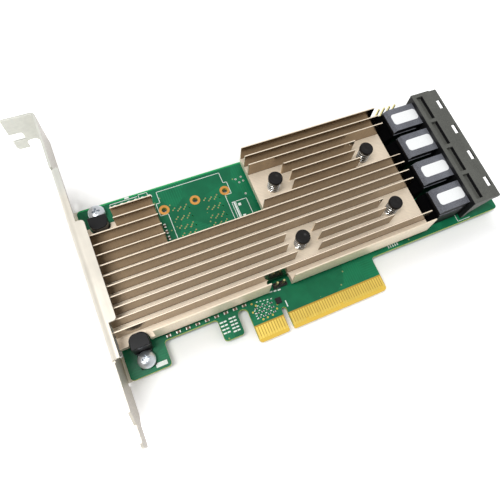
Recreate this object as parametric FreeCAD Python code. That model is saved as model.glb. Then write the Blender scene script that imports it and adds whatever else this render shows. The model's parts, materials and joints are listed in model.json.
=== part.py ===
import FreeCAD, Part
import math
import os

# Host bus adapter: a low-profile plug-in card with a finned heat sink, a full-height
# bracket and four internal cable sockets in one shroud.
# Frame: X runs along the card away from the bracket, Y from the edge fingers to the
# card's top edge, Z out of the component side. X = 0 is the middle of the key notch,
# Y = 0 the tips of the edge fingers, Z = 0 the component face of the board.

# Circuit board
board_height = 68.90
board_thickness = 1.57
board_below_sink = 1.50
board_past_sockets = 10.05
board_corner_radius = 1.50
board_fillet_radius = 1.20
key_from_left = 55.40
corner_tab_width = 13.50
corner_tab_margin = 4.50
hook_width = 7.15
hook_gap = 3.80
hook_foot = 5.10

# Edge fingers
key_width = 1.90
key_depth = 8.70
pads_before_key = 11
pads_after_key = 38
pad_pitch = 1.00
pad_width = 0.70
pad_margin = 0.60
pad_top = 5.70
pad_thickness = 0.05
short_pad_cut = 1.00
short_pads_front = (17, 31, 48)
short_pads_back = (1,)
bevel_length = 1.20
bevel_depth = 0.42

# Bare connector site and its plated holes
ring_from_window = 3.15
ring_pitch = 11.85
ring_count = 3
ring_height = 59.10
ring_hole_radius = 1.00
ring_outer_radius = 1.95
ring_thickness = 0.05

# Controller chip and what lies between it and the heat sink
controller_height = 39.30
controller_size = 27.00
substrate_thickness = 1.10
lid_size = 24.00
lid_thickness = 0.90
thermal_pad_size = 22.00
thermal_pad_thickness = 0.20

# Heat sink
sink_from_left = 0.10
sink_lower_edge = 14.90
sink_base_thickness = 3.00
tail_width = 27.20
lobe_length = 25.85
lobe_width = 45.70
window_length = 36.35
main_block_length = 57.80
clip_relief_length = 11.60
clip_relief_drop = 2.20
fin_rows = 15
fin_height = 7.60
fin_thickness = 0.50
fin_pitch = 3.74
pocket_radius = 6.50
pocket_shift_left = 0.60
pocket_shift_right = 1.90
notch_from_block = 1.10
notch_width = 8.80
notch_radius = 1.20

# Push pins and their springs
pin_from_block_left = 7.22
pin_from_block_right = 11.82
pin_spacing_y = 24.75
pin_shaft_radius = 1.45
pin_head_radius = 2.70
pin_head_thickness = 1.50
pin_head_rise = 0.20
pin_hole_clearance = 0.15
pin_barb_radius = 2.00
pin_barb_length = 2.20
pin_tip_radius = 0.80
pin_slot_width = 0.60
pin_slot_depth = 3.20
spring_outer_radius = 2.45
spring_wire = 0.50
spring_turns = 4
spring_steps = 8

# Bracket, folded from one sheet
sheet = 0.86
bracket_gap = 1.29
bracket_length = 120.02
bracket_above_fins = 0.96
bracket_back_margin = 2.23
bracket_tip = -16.06
foot_width = 10.19
foot_narrow_end = 7.06
foot_taper = 3.60
foot_radius = 1.80
top_tab_length = 11.43
slot_width = 4.42
slot_depth = 4.52
slot_middle = 7.45
slot_corner_radius = 0.80
arch_width = 4.20
arch_depth = 4.30
arch_from_plate = 2.95
tab_corner_radius = 1.60
fold_radius = 0.50
flange_radius = 1.54
flange_start = 10.70
flange_length = 69.00
flange_lip = 0.25
wide_flange_start = 22.10
wide_flange_length = 36.10
wide_flange_reach = 2.75
wide_flange_radius = 1.20
relief_width = 0.90
vent_radius = 2.05
vent_sides = 10
vent_pitch = 6.00
vent_rows = 3
vent_row_spacing = 5.00
vent_start = 18.50
vent_length = 58.00
mount_tab_width = 8.70
mount_tab_reach = 10.60
mount_tab_radius = 2.00

# Screws that hold the board and the heat sink clips to the bracket
screw_from_left = 6.60
screw_above_sink = 6.90
screw_below_sink = 5.50
screw_radius = 1.45
screw_clearance = 0.15
screw_head_radius = 3.00
screw_head_height = 2.10
screw_rim = 0.80
screw_tip = 1.30

# Heat sink clips
clip_width = 6.20
clip_foot_width = 5.00
clip_foot_thickness = 1.20
clip_length = 5.00
clip_top = 8.60
clip_nose_radius = 2.40
clip_gap = 0.35
clip_lap = 2.50
clip_floor_width = 2.00

# Cable sockets
port_count = 4
port_pitch = 12.77
port_middle_height = 41.205
port_from_sink = 0.50
port_body_length = 21.70
port_body_width = 10.20
port_body_height = 11.50
port_skirt_width = 10.90
port_skirt_height = 9.10
port_skirt_length = 11.00
port_corner = 0.50
port_rear_chamfer = 1.30
blade_slot_width = 8.40
blade_slot_height = 2.60
blade_slot_depth = 7.00
blade_slot_middle = 6.20
contacts_per_row = 4
contact_pitch = 1.90
contact_width = 0.60
contact_thickness = 0.20
contact_length = 6.00
terminal_length = 3.30
terminal_height = 8.00
terminal_slope = 2.20
label_from_back = 1.60
label_length = 11.60
label_width = 4.90
label_corner = 0.80
label_thickness = 0.10
shroud_from_back = 13.50
shroud_length = 12.85
shroud_roof = 2.20
shroud_end_wall = 2.00
shroud_leg = 1.80
shroud_leg_height = 4.20
shroud_front_height = 11.20
shroud_corner = 0.50
shroud_gap = 0.10
recess_from_back = 1.80
recess_width = 2.80
recess_depth = 1.80
recess_web = 1.60
lip_length = 4.00
lip_step = 0.55
lip_thickness = 0.80
latch_from_front = 1.30
latch_width = 1.75
latch_length = 4.20

# Pin headers
header_from_socket = -0.70
header_gap = 0.74
header_count = 4
header_pitch = 2.54
header_base_width = 2.00
header_base_height = 2.50
header_pin = 0.64
header_clearance = 0.06
header_pin_top = 10.30
header_tail = 1.20
jumper_count = 2
jumper_shift = 0.60
jumper_from_edge = 1.70
jumper_base_height = 1.60
jumper_pin_top = 5.00

# Small surface-mounted parts
chip_length = 1.60
chip_width = 0.80
chip_thickness = 0.70
capacitor_first_from_left = 15.50
capacitor_count = 9
capacitor_pitch = 3.40
capacitor_from_edge = 0.90
resistor_rows = 3
resistor_columns = 4
resistor_from_left = 46.20
resistor_height = 8.30
resistor_pitch_x = 1.90
resistor_pitch_y = 1.70
resistor_length = 1.00
resistor_width = 0.50
resistor_thickness = 0.35
site_chip_count = 4
site_chip_from_window = 1.30
site_chip_below_ring = 6.40
site_chip_pitch = 2.50
tongue_chip_from_key = -0.70
tongue_chip_above_key = 2.70
tongue_chip_length = 2.00
tongue_chip_width = 2.20
tongue_chip_thickness = 0.80
back_capacitor_rows = 3
back_capacitor_pitch = 5.50
inductor_count = 3
inductor_size = 5.20
inductor_height = 1.90
inductor_pitch = 7.00
inductor_from_left = 34.00
inductor_middle = 32.00
regulator_size = 4.00
regulator_height = 0.90
regulator_middle = 25.00
flash_length = 5.20
flash_width = 4.00
flash_height = 1.60
flash_from_left = 17.00
flash_middle = 33.00
crystal_length = 3.20
crystal_width = 2.50
crystal_height = 0.80
crystal_from_left = 66.00
crystal_middle = 33.00

# Sides of the polygon that stands for each small round feature
round_sides = 16
# Room by which a cutting shape runs past the face it cuts
over = 1.0

# Levels, from the solder side up
solder_face = -board_thickness
lid_top = substrate_thickness + lid_thickness
sink_under = lid_top + thermal_pad_thickness
sink_floor = sink_under + sink_base_thickness
fin_top = sink_floor + fin_height
pin_head_under = fin_top + pin_head_rise - pin_head_thickness
shroud_top = port_body_height + shroud_roof
bracket_low = solder_face - bracket_back_margin
bracket_high = fin_top + bracket_above_fins + sheet
bracket_middle = (bracket_low + bracket_high) / 2

# Places along the card, from the bracket to the cable sockets
board_left = -key_from_left
bracket_inner = board_left - bracket_gap
bracket_outer = bracket_inner - sheet
screw_x = board_left + screw_from_left
sink_left = board_left + sink_from_left
window_left = sink_left + lobe_length
block_left = window_left + window_length
sink_right = block_left + main_block_length
notch_right = block_left - notch_from_block
notch_left = notch_right - notch_width
pin_left_x = block_left + pin_from_block_left
pin_right_x = sink_right - pin_from_block_right
controller_x = (pin_left_x + pin_right_x) / 2
port_left = sink_right + port_from_sink + terminal_length
port_right = port_left + port_body_length
shroud_back = port_left + shroud_from_back
board_right = port_right + board_past_sockets
tongue_left = -key_width / 2 - (pads_before_key - 1) * pad_pitch - 2 * pad_margin
tongue_right = key_width / 2 + (pads_after_key - 1) * pad_pitch + 2 * pad_margin
hook_right = tongue_left - hook_gap

# Heights above the finger tips
board_lower_edge = sink_lower_edge - board_below_sink
sink_upper_edge = sink_lower_edge + (fin_rows - 1) * fin_pitch + fin_thickness
tail_top = sink_lower_edge + tail_width
lobe_top = sink_lower_edge + lobe_width
clip_relief_edge = lobe_top - clip_relief_drop
screw_lower_height = sink_lower_edge - screw_below_sink
screw_upper_height = clip_relief_edge + screw_above_sink
corner_tab_foot = screw_lower_height - corner_tab_margin
bracket_top = bracket_tip + bracket_length
port_first_height = port_middle_height - (port_count - 1) / 2 * port_pitch
port_heights = [port_first_height + i * port_pitch for i in range(port_count)]
header_height = port_heights[-1] + port_skirt_width / 2 + header_gap + header_base_width / 2
jumper_height = sink_lower_edge + jumper_from_edge
capacitor_height = board_lower_edge + capacitor_from_edge
pin_heights = (controller_height - pin_spacing_y / 2, controller_height + pin_spacing_y / 2)
pin_places = [(x, y) for y in pin_heights for x in (pin_left_x, pin_right_x)]


def vector(x, y, z):
    return FreeCAD.Vector(x, y, z)


def on_xy(u, v):
    return vector(u, v, 0)


def on_yz(u, v):
    return vector(0, u, v)


def on_xz(u, v):
    return vector(u, 0, v)


def box(x_range, y_range, z_range):
    """A block between two corners, given as ranges along the three axes."""
    low = vector(x_range[0], y_range[0], z_range[0])
    return Part.makeBox(x_range[1] - x_range[0], y_range[1] - y_range[0], z_range[1] - z_range[0], low)


def block(x, y, length, width, z_low, z_high):
    """An upright block centred on a point of the board."""
    return box((x - length / 2, x + length / 2), (y - width / 2, y + width / 2), (z_low, z_high))


def ring(x, y, radius, z):
    """Corners of the polygon that stands for a small circle, closed."""
    angles = [2 * math.pi * (i % round_sides) / round_sides for i in range(round_sides + 1)]
    return [vector(x + radius * math.cos(angle), y + radius * math.sin(angle), z) for angle in angles]


def rod(x, y, radius, z_low, z_high):
    """A small upright round bar."""
    return Part.Face(Part.makePolygon(ring(x, y, radius, z_low))).extrude(vector(0, 0, z_high - z_low))


def hole(x, y, radius, z_low, z_high):
    """A cutter whose flats, not corners, lie at the radius, so a bar of that radius passes."""
    return rod(x, y, radius / math.cos(math.pi / round_sides), z_low, z_high)


def outline(corners, plane):
    """A closed wire through (u, v, radius) corners, each rounded by its radius."""
    points = [plane(u, v) for u, v, _ in corners]
    radii = [radius for _, _, radius in corners]
    edges = []
    ends = []
    for i, point in enumerate(points):
        to_last = (points[i - 1] - point).normalize()
        to_next = (points[(i + 1) % len(points)] - point).normalize()
        if radii[i] == 0:
            ends.append((point, point))
            continue
        half_angle = to_last.getAngle(to_next) / 2
        setback = radii[i] / math.tan(half_angle)
        inward = (to_last + to_next).normalize()
        middle = point + inward * (radii[i] / math.sin(half_angle) - radii[i])
        start = point + to_last * setback
        end = point + to_next * setback
        ends.append((start, end))
        edges.append(Part.Arc(start, middle, end).toShape())
    for i, (start, _) in enumerate(ends):
        last_end = ends[i - 1][1]
        if last_end.distanceToPoint(start) > 1e-6:
            edges.append(Part.LineSegment(last_end, start).toShape())
    return Part.Wire(Part.__sortEdges__(edges))


def prism(corners, low, high, plane=on_xy):
    """A rounded outline on a plane, drawn out along the plane's own axis."""
    axis = {on_xy: vector(0, 0, 1), on_yz: vector(1, 0, 0), on_xz: vector(0, 1, 0)}[plane]
    face = Part.Face(outline(corners, plane))
    face.translate(axis * low)
    return face.extrude(axis * (high - low))


def turned(profile, x, y):
    """A small turned piece about an upright axis: flat bands between (radius, z) rings, from the top down."""
    rings = [ring(x, y, radius, z) for radius, z in profile]
    faces = [Part.Face(Part.makePolygon(end)) for end in (rings[0], rings[-1])]
    for upper, lower in zip(rings, rings[1:]):
        for i in range(round_sides):
            corners = [upper[i], upper[i + 1], lower[i + 1], lower[i], upper[i]]
            faces.append(Part.Face(Part.makePolygon(corners)))
    return one_solid(Part.Solid(Part.Shell(faces)))


def one_solid(shape):
    """The single solid of a fused shape, with its split faces merged."""
    return shape.removeSplitter().Solids[0]


def circuit_board():
    """Bare board: tabs, hook, tongue with its key notch and bevel, and the holes."""
    left = board_left
    corners = [
        (left, corner_tab_foot, board_fillet_radius),
        (left + corner_tab_width, corner_tab_foot, board_fillet_radius),
        (left + corner_tab_width, board_lower_edge, board_fillet_radius),
        (hook_right - hook_width, board_lower_edge, board_fillet_radius),
        (hook_right - hook_width, hook_foot, board_fillet_radius),
        (hook_right, hook_foot, board_fillet_radius),
        (hook_right, board_lower_edge, hook_gap * 0.49),
        (tongue_left, board_lower_edge, hook_gap * 0.49),
        (tongue_left, 0, board_fillet_radius),
        (-key_width / 2, 0, board_fillet_radius / 2),
        (-key_width / 2, key_depth, key_width * 0.49),
        (key_width / 2, key_depth, key_width * 0.49),
        (key_width / 2, 0, board_fillet_radius / 2),
        (tongue_right, 0, board_fillet_radius),
        (tongue_right, board_lower_edge, board_fillet_radius),
        (board_right, board_lower_edge, board_fillet_radius),
        (board_right, board_height, board_corner_radius),
        (left, board_height, board_corner_radius),
    ]
    board = prism(corners, solder_face, 0)
    tongue = (tongue_left - over, tongue_right + over)
    bevels = []
    for face, depth in ((0, -bevel_depth), (solder_face, bevel_depth)):
        wedge = [(0, face, 0), (bevel_length, face, 0), (0, face + depth, 0)]
        bevels.append(prism(wedge, tongue[0], tongue[1], on_yz))
    through = (solder_face - over, over)
    holes = [
        hole(screw_x, height, screw_radius + screw_clearance, *through)
        for height in (screw_lower_height, screw_upper_height)
    ]
    holes += [hole(x, y, pin_shaft_radius + pin_hole_clearance, *through) for x, y in pin_places]
    holes += [hole(x, y, ring_hole_radius, *through) for x, y in ring_places()]
    pin_hole = header_pin + 2 * header_clearance
    holes += [block(x, y, pin_hole, pin_hole, *through) for x, y in header_places() + jumper_places()]
    return board.cut(bevels + holes)


def edge_contacts(low, high, short_pads):
    """One face's row of gold fingers; a short pad stops above the bevel by its cut."""
    pads = []
    first = tongue_left + pad_margin
    second = key_width / 2 + pad_margin
    for number in range(1, pads_before_key + pads_after_key + 1):
        after = number - pads_before_key
        x = first + (number - 1) * pad_pitch if after <= 0 else second + (after - 1) * pad_pitch
        bottom = bevel_length + (short_pad_cut if number in short_pads else 0)
        pads.append(box((x - pad_width / 2, x + pad_width / 2), (bottom, pad_top), (low, high)))
    return Part.makeCompound(pads)


def ring_places():
    first = window_left + ring_from_window
    return [(first + i * ring_pitch, ring_height) for i in range(ring_count)]


def plated_hole_rings():
    """Copper lands round the bare connector's holes, on the component face."""
    rings = []
    for x, y in ring_places():
        land = rod(x, y, ring_outer_radius, 0, ring_thickness)
        rings.append(land.cut(hole(x, y, ring_hole_radius, -over, over)))
    return Part.makeCompound(rings)


def sink_corners():
    """Plan of the heat sink's base, with the window over the bare connector site."""
    notch_top = sink_lower_edge + fin_pitch
    clip_left = screw_x - clip_width / 2 - clip_gap
    clip_right = screw_x + clip_width / 2 + clip_gap
    lower_nose = sink_lower_edge + clip_lap + clip_gap
    upper_nose = clip_relief_edge - clip_lap - clip_gap
    nose_radius = clip_nose_radius + clip_gap
    return [
        (sink_left, sink_lower_edge, 0),
        (clip_left, sink_lower_edge, 0),
        (clip_left, lower_nose, nose_radius),
        (clip_right, lower_nose, nose_radius),
        (clip_right, sink_lower_edge, 0),
        (notch_left, sink_lower_edge, 0),
        (notch_left, notch_top, notch_radius),
        (notch_right, notch_top, notch_radius),
        (notch_right, sink_lower_edge, 0),
        (sink_right, sink_lower_edge, 0),
        (sink_right, sink_upper_edge, 0),
        (block_left, sink_upper_edge, 0),
        (block_left, tail_top, 0),
        (window_left, tail_top, 0),
        (window_left, lobe_top, 0),
        (sink_left + clip_relief_length, lobe_top, 0),
        (sink_left + clip_relief_length, clip_relief_edge, 0),
        (clip_right, clip_relief_edge, 0),
        (clip_right, upper_nose, nose_radius),
        (clip_left, upper_nose, nose_radius),
        (clip_left, clip_relief_edge, 0),
        (sink_left, clip_relief_edge, 0),
    ]


def pin_pockets():
    """Round-nosed cuts that clear the fins round the push pins, three of them open at a side."""
    depth = fin_height + over
    z_range = (sink_floor, sink_floor + depth)
    pockets = []
    for x, y in pin_places:
        is_right = x > controller_x
        centre = x + (pocket_shift_right if is_right else pocket_shift_left)
        pockets.append(Part.makeCylinder(pocket_radius, depth, vector(centre, y, sink_floor)))
        across = (y - pocket_radius, y + pocket_radius)
        if is_right:
            pockets.append(box((centre, sink_right + over), across, z_range))
        elif y > controller_height:
            pockets.append(box((block_left - over, centre), across, z_range))
    return pockets


def clip_pockets():
    """Bare floor round the two clips, where no fin runs."""
    along = (sink_left - over, sink_left + clip_relief_length)
    z_range = (sink_floor, fin_top + over)
    lower = (sink_lower_edge - over, sink_lower_edge + clip_lap + clip_gap)
    upper = (clip_relief_edge - clip_lap - clip_gap - clip_floor_width, clip_relief_edge + over)
    return [box(along, lower, z_range), box(along, upper, z_range)]


def heat_sink():
    """Base plate with straight fins along the card, drawn from one plan."""
    base = prism(sink_corners(), sink_under, sink_floor)
    fin_block = prism(sink_corners(), sink_floor, fin_top)
    rows = []
    for row in range(fin_rows):
        front = sink_lower_edge + row * fin_pitch
        across = (front, front + fin_thickness)
        rows.append(box((sink_left - over, sink_right + over), across, (sink_floor, fin_top)))
    fins = fin_block.common(Part.makeCompound(rows)).cut(pin_pockets() + clip_pockets())
    sink = one_solid(base.multiFuse(fins.Solids))
    hole_radius = pin_shaft_radius + pin_hole_clearance
    return sink.cut([hole(x, y, hole_radius, sink_under - over, fin_top + over) for x, y in pin_places])


def push_pin(x, y):
    """Moulded pin: domed head, shaft and a split barb that grips behind the board."""
    barb_top = solder_face
    tip = barb_top - pin_barb_length
    head_top = pin_head_under + pin_head_thickness
    profile = [
        (pin_head_radius * 0.8, head_top),
        (pin_head_radius, head_top - pin_head_thickness * 0.3),
        (pin_head_radius, pin_head_under),
        (pin_shaft_radius, pin_head_under),
        (pin_shaft_radius, barb_top),
        (pin_barb_radius, barb_top - pin_barb_length * 0.15),
        (pin_tip_radius, tip),
    ]
    slot = block(x, y, pin_slot_width, 2 * pin_barb_radius + over, tip - over, tip + pin_slot_depth)
    return turned(profile, x, y).cut(slot)


def pin_spring(x, y):
    """Coil spring between the heat sink's base and the pin's head, as a ruled helix."""
    middle = spring_outer_radius - spring_wire / 2
    rise = pin_head_under - sink_floor - spring_wire
    sections = []
    steps = spring_turns * spring_steps
    half = spring_wire / 2
    for step in range(steps + 1):
        angle = 2 * math.pi * step / spring_steps
        z = sink_floor + half + rise * step / steps
        corners = []
        for out, up in ((-half, -half), (half, -half), (half, half), (-half, half)):
            reach = middle + out
            corners.append(vector(x + reach * math.cos(angle), y + reach * math.sin(angle), z + up))
        sections.append(Part.makePolygon(corners + corners[:1]))
    return Part.makeLoft(sections, True, True)


def quarter_bend(centre_u, centre_v, outer_radius, start_degrees, plane):
    """Section of a folded corner: a quarter ring of the sheet's thickness."""
    inner_radius = outer_radius - sheet

    def at(radius, degrees):
        angle = math.radians(start_degrees + degrees)
        return plane(centre_u + radius * math.cos(angle), centre_v + radius * math.sin(angle))

    outer_arc = Part.Arc(at(outer_radius, 0), at(outer_radius, 45), at(outer_radius, 90)).toShape()
    inner_arc = Part.Arc(at(inner_radius, 0), at(inner_radius, 45), at(inner_radius, 90)).toShape()
    start = Part.LineSegment(at(outer_radius, 0), at(inner_radius, 0)).toShape()
    end = Part.LineSegment(at(outer_radius, 90), at(inner_radius, 90)).toShape()
    return Part.Face(Part.Wire(Part.__sortEdges__([outer_arc, inner_arc, start, end])))


def bracket_vents():
    """Staggered rows of round air vents, as cutters through the plate."""
    vents = []
    turn = 2 * math.pi / vent_sides
    angles = [i * turn for i in range(vent_sides)]
    corners = [(vent_radius * math.cos(angle), vent_radius * math.sin(angle), 0) for angle in angles]
    vent = prism(corners, bracket_outer - over, bracket_inner + over, on_yz)
    for row in range(vent_rows):
        z = bracket_middle + (row - (vent_rows - 1) / 2) * vent_row_spacing
        y = vent_start + (row % 2) * vent_pitch / 2
        while y <= vent_start + vent_length:
            vents.append(vent.translated(vector(0, y, z)))
            y += vent_pitch
    return vents


def bracket_plate():
    """Flat of the bracket with its tapered foot and vents, before the folds are added."""
    foot_low = bracket_middle - foot_width / 2
    foot_high = bracket_middle + foot_width / 2
    neck = bracket_tip + foot_narrow_end
    shoulder = neck + foot_taper
    plate_top = bracket_top - sheet - fold_radius
    corners = [
        (bracket_tip, foot_low, foot_radius),
        (neck, foot_low, 0),
        (shoulder, bracket_low, 0),
        (plate_top, bracket_low, 0),
        (plate_top, bracket_high, 0),
        (shoulder, bracket_high, 0),
        (neck, foot_high, 0),
        (bracket_tip, foot_high, foot_radius),
    ]
    plate = prism(corners, bracket_outer, bracket_inner, on_yz)
    across = (bracket_outer - over, bracket_inner + over)
    flange_cut = (flange_start - relief_width, flange_start + flange_length + relief_width)
    cuts = [box(across, flange_cut, (bracket_high - flange_radius - sheet, bracket_high + over))]
    for height in (screw_lower_height, screw_upper_height):
        reach = mount_tab_width / 2 + relief_width
        tab_cut = (height - reach, height + reach)
        cuts.append(box(across, tab_cut, (bracket_low - over, solder_face + fold_radius)))
    return plate.cut(cuts + bracket_vents())


def bracket_top_tab():
    """Tab folded outward at the top, with the screw slot and the arch beside the plate."""
    under = bracket_top - sheet
    bend = quarter_bend(bracket_outer - fold_radius, under - fold_radius, sheet + fold_radius, 0, on_xy)
    bend.translate(vector(0, 0, bracket_low))
    fold = bend.extrude(vector(0, 0, bracket_high - bracket_low))
    outer_end = bracket_inner - top_tab_length
    corners = [
        (outer_end, bracket_low, tab_corner_radius),
        (bracket_outer - fold_radius, bracket_low, 0),
        (bracket_outer - fold_radius, bracket_high, 0),
        (outer_end, bracket_high, tab_corner_radius / 2),
    ]
    tab = prism(corners, under, bracket_top, on_xz)
    slot_end = outer_end + slot_depth
    slot_z = bracket_low + slot_middle
    slot = [
        (outer_end - over, slot_z - slot_width / 2, 0),
        (slot_end, slot_z - slot_width / 2, slot_corner_radius),
        (slot_end, slot_z + slot_width / 2, slot_corner_radius),
        (outer_end - over, slot_z + slot_width / 2, 0),
    ]
    arch_right = bracket_outer - arch_from_plate + sheet
    arch = [
        (arch_right - arch_width, bracket_low - over, 0),
        (arch_right - arch_width, bracket_low + arch_depth, arch_width * 0.45),
        (arch_right, bracket_low + arch_depth, arch_width * 0.45),
        (arch_right, bracket_low - over, 0),
    ]
    cuts = [prism(shape, under - over, bracket_top + over, on_xz) for shape in (slot, arch)]
    return [fold, tab.cut(cuts)]


def bracket_flange():
    """Stiffening flange folded over the heat sink's end, wide in its middle stretch."""
    outer_radius = flange_radius + sheet
    tangent = bracket_outer + outer_radius
    bend = quarter_bend(tangent, bracket_high - outer_radius, outer_radius, 90, on_xz)
    bend.translate(vector(0, flange_start, 0))
    fold = bend.extrude(vector(0, flange_length, 0))
    z_range = (bracket_high - sheet, bracket_high)
    lip = box((tangent, tangent + flange_lip), (flange_start, flange_start + flange_length), z_range)
    wide_end = wide_flange_start + wide_flange_length
    corners = [
        (tangent, wide_flange_start, 0),
        (tangent + wide_flange_reach, wide_flange_start, wide_flange_radius),
        (tangent + wide_flange_reach, wide_end, wide_flange_radius),
        (tangent, wide_end, 0),
    ]
    return [fold, lip, prism(corners, z_range[0], z_range[1])]


def bracket_mount_tab(height):
    """Tab folded under the board for one screw."""
    low_edge = height - mount_tab_width / 2
    centre_x = bracket_inner + fold_radius
    bend = quarter_bend(centre_x, solder_face + fold_radius, sheet + fold_radius, 180, on_xz)
    bend.translate(vector(0, low_edge, 0))
    fold = bend.extrude(vector(0, mount_tab_width, 0))
    end = board_left + mount_tab_reach
    corners = [
        (centre_x, low_edge, 0),
        (end, low_edge, mount_tab_radius),
        (end, low_edge + mount_tab_width, mount_tab_radius),
        (centre_x, low_edge + mount_tab_width, 0),
    ]
    tab = prism(corners, solder_face - sheet, solder_face)
    tapped = rod(screw_x, height, screw_radius, solder_face - sheet - over, solder_face + over)
    return [fold, tab.cut(tapped)]


def bracket():
    """The whole folded sheet as one solid."""
    pieces = bracket_top_tab() + bracket_flange()
    for height in (screw_lower_height, screw_upper_height):
        pieces += bracket_mount_tab(height)
    return one_solid(bracket_plate().multiFuse(pieces))


def bracket_screw(height):
    """Pan-head screw, down through clip, board and bracket tab."""
    seat = clip_foot_thickness
    top = seat + screw_head_height
    tip = solder_face - sheet - screw_tip
    profile = [
        (screw_head_radius * 0.55, top),
        (screw_head_radius * 0.88, top - screw_head_height * 0.3),
        (screw_head_radius, seat + screw_rim),
        (screw_head_radius, seat),
        (screw_radius, seat),
        (screw_radius, tip),
    ]
    return turned(profile, screw_x, height)


def sink_clip(screw_height, base_edge):
    """Moulded clip: a foot under the screw head and a D-shaped post in the notch of the sink's edge."""
    towards = 1 if base_edge > screw_height else -1
    nose = base_edge + towards * clip_lap
    back = nose - towards * clip_length
    heel = screw_height - towards * clip_foot_width / 2
    half = clip_width / 2
    post_corners = [
        (screw_x - half, back, 0),
        (screw_x + half, back, 0),
        (screw_x + half, nose, clip_nose_radius),
        (screw_x - half, nose, clip_nose_radius),
    ]
    foot_half = clip_foot_width / 2
    foot_corners = [
        (screw_x - foot_half, back, 0),
        (screw_x + foot_half, back, 0),
        (screw_x + foot_half, heel, 0),
        (screw_x - foot_half, heel, 0),
    ]
    foot = prism(foot_corners, 0, clip_foot_thickness)
    clip = one_solid(prism(post_corners, 0, clip_top).fuse(foot))
    hole_radius = screw_radius + screw_clearance
    return clip.cut(hole(screw_x, screw_height, hole_radius, -over, clip_foot_thickness + over))


def receptacle(height):
    """Socket body on the board: a skirt, the upper housing and the slot for a plug's blade."""
    half = port_body_width / 2
    upper = [
        (port_left, 0, 0),
        (port_right, 0, 0),
        (port_right, port_body_height, port_corner),
        (port_left + port_rear_chamfer, port_body_height, 0),
        (port_left, port_body_height - port_rear_chamfer, 0),
    ]
    housing = prism(upper, height - half, height + half, on_xz)
    skirt = block(
        port_left + port_skirt_length / 2, height, port_skirt_length, port_skirt_width, 0, port_skirt_height
    )
    slot_z = (blade_slot_middle - blade_slot_height / 2, blade_slot_middle + blade_slot_height / 2)
    slot_y = (height - blade_slot_width / 2, height + blade_slot_width / 2)
    slot = box((port_right - blade_slot_depth, port_right + over), slot_y, slot_z)
    return one_solid(housing.fuse(skirt)).cut(slot)


def contact_set(height):
    """Two facing rows of spring contacts along the roof and floor of one blade slot."""
    contacts = []
    first = height - (contacts_per_row - 1) * contact_pitch / 2
    back = port_right - blade_slot_depth
    floor = blade_slot_middle - blade_slot_height / 2
    roof = blade_slot_middle + blade_slot_height / 2
    for low, high in ((floor, floor + contact_thickness), (roof - contact_thickness, roof)):
        for i in range(contacts_per_row):
            y = first + i * contact_pitch
            across = (y - contact_width / 2, y + contact_width / 2)
            contacts.append(box((back, back + contact_length), across, (low, high)))
    return Part.makeCompound(contacts)


def terminal_block(height):
    """Sloped block that carries the contact tails behind a socket."""
    half = port_skirt_width / 2
    back = port_left - terminal_length
    profile = [
        (back, 0, 0),
        (port_left, 0, 0),
        (port_left, terminal_height, 0),
        (back + terminal_slope, terminal_height, 0),
        (back, terminal_height - terminal_slope, 0),
    ]
    return prism(profile, height - half, height + half, on_xz)


def port_label(height):
    """Blank white label on a socket's roof."""
    start = port_left + label_from_back
    end = start + label_length
    low = height - label_width / 2
    high = height + label_width / 2
    corners = [
        (start + label_corner, low, 0),
        (end - label_corner, low, 0),
        (end, low + label_corner, 0),
        (end, high - label_corner, 0),
        (end - label_corner, high, 0),
        (start + label_corner, high, 0),
        (start, high - label_corner, 0),
        (start, low + label_corner, 0),
    ]
    return prism(corners, port_body_height, port_body_height + label_thickness)


def connector_shroud():
    """One long hood over the socket fronts: a roof on five tapered walls that stand on the board."""
    back = shroud_back
    front = back + shroud_length
    tunnel = port_body_width / 2 + shroud_gap
    low = port_heights[0] - tunnel - shroud_end_wall
    high = port_heights[-1] + tunnel + shroud_end_wall
    step = front - lip_length
    profile = [
        (back, 0, 0),
        (back + shroud_leg, 0, 0),
        (back + shroud_leg, shroud_leg_height, shroud_corner),
        (step, shroud_front_height, shroud_corner),
        (front, shroud_front_height, shroud_corner),
        (front, shroud_top - lip_step, shroud_corner),
        (step, shroud_top - lip_step, 0),
        (step, shroud_top, 0),
        (back, shroud_top, 0),
    ]
    shroud = prism(profile, low, high, on_xz)
    cuts = []
    recess_start = back + recess_from_back
    recess_reach = (port_pitch - recess_web) / 2
    latch_end = front - latch_from_front
    for height in port_heights:
        across = (height - tunnel, height + tunnel)
        cuts.append(box((back - over, front + over), across, (-over, port_body_height)))
        cuts.append(box((step, front + over), across, (-over, shroud_top - lip_step - lip_thickness)))
        recess = (height - recess_reach, height + recess_reach)
        recess_x = (recess_start, recess_start + recess_width)
        cuts.append(box(recess_x, recess, (shroud_top - recess_depth, shroud_top + over)))
        latch = (height - latch_length / 2, height + latch_length / 2)
        cuts.append(box((latch_end - latch_width, latch_end), latch, (0, shroud_top + over)))
    return shroud.cut(cuts)


def header_places():
    first = port_left + header_from_socket
    return [(first + i * header_pitch, header_height) for i in range(header_count)]


def jumper_places():
    first = (notch_left + notch_right - header_pitch) / 2 + jumper_shift
    return [(first + i * header_pitch, jumper_height) for i in range(jumper_count)]


def header_base(places, base_height):
    """Insulating strip of a pin header, with a hole for each pin."""
    x_low = places[0][0] - header_pitch / 2
    x_high = places[-1][0] + header_pitch / 2
    y = places[0][1]
    across = (y - header_base_width / 2, y + header_base_width / 2)
    strip = box((x_low, x_high), across, (0, base_height))
    holes = [block(x, y, header_pin, header_pin, -over, base_height + over) for x, y in places]
    return strip.cut(holes)


def header_pins(places, top):
    """Square pins of a header, from their tips to the solder tails behind the board."""
    tail = solder_face - header_tail
    return Part.makeCompound([block(x, y, header_pin, header_pin, tail, top) for x, y in places])


def edge_capacitors():
    """Row of chip capacitors along the board's lower edge, in front of the heat sink."""
    first = board_left + capacitor_first_from_left
    return Part.makeCompound([
        block(first + i * capacitor_pitch, capacitor_height, chip_length, chip_width, 0, chip_thickness)
        for i in range(capacitor_count)
    ])


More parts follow.
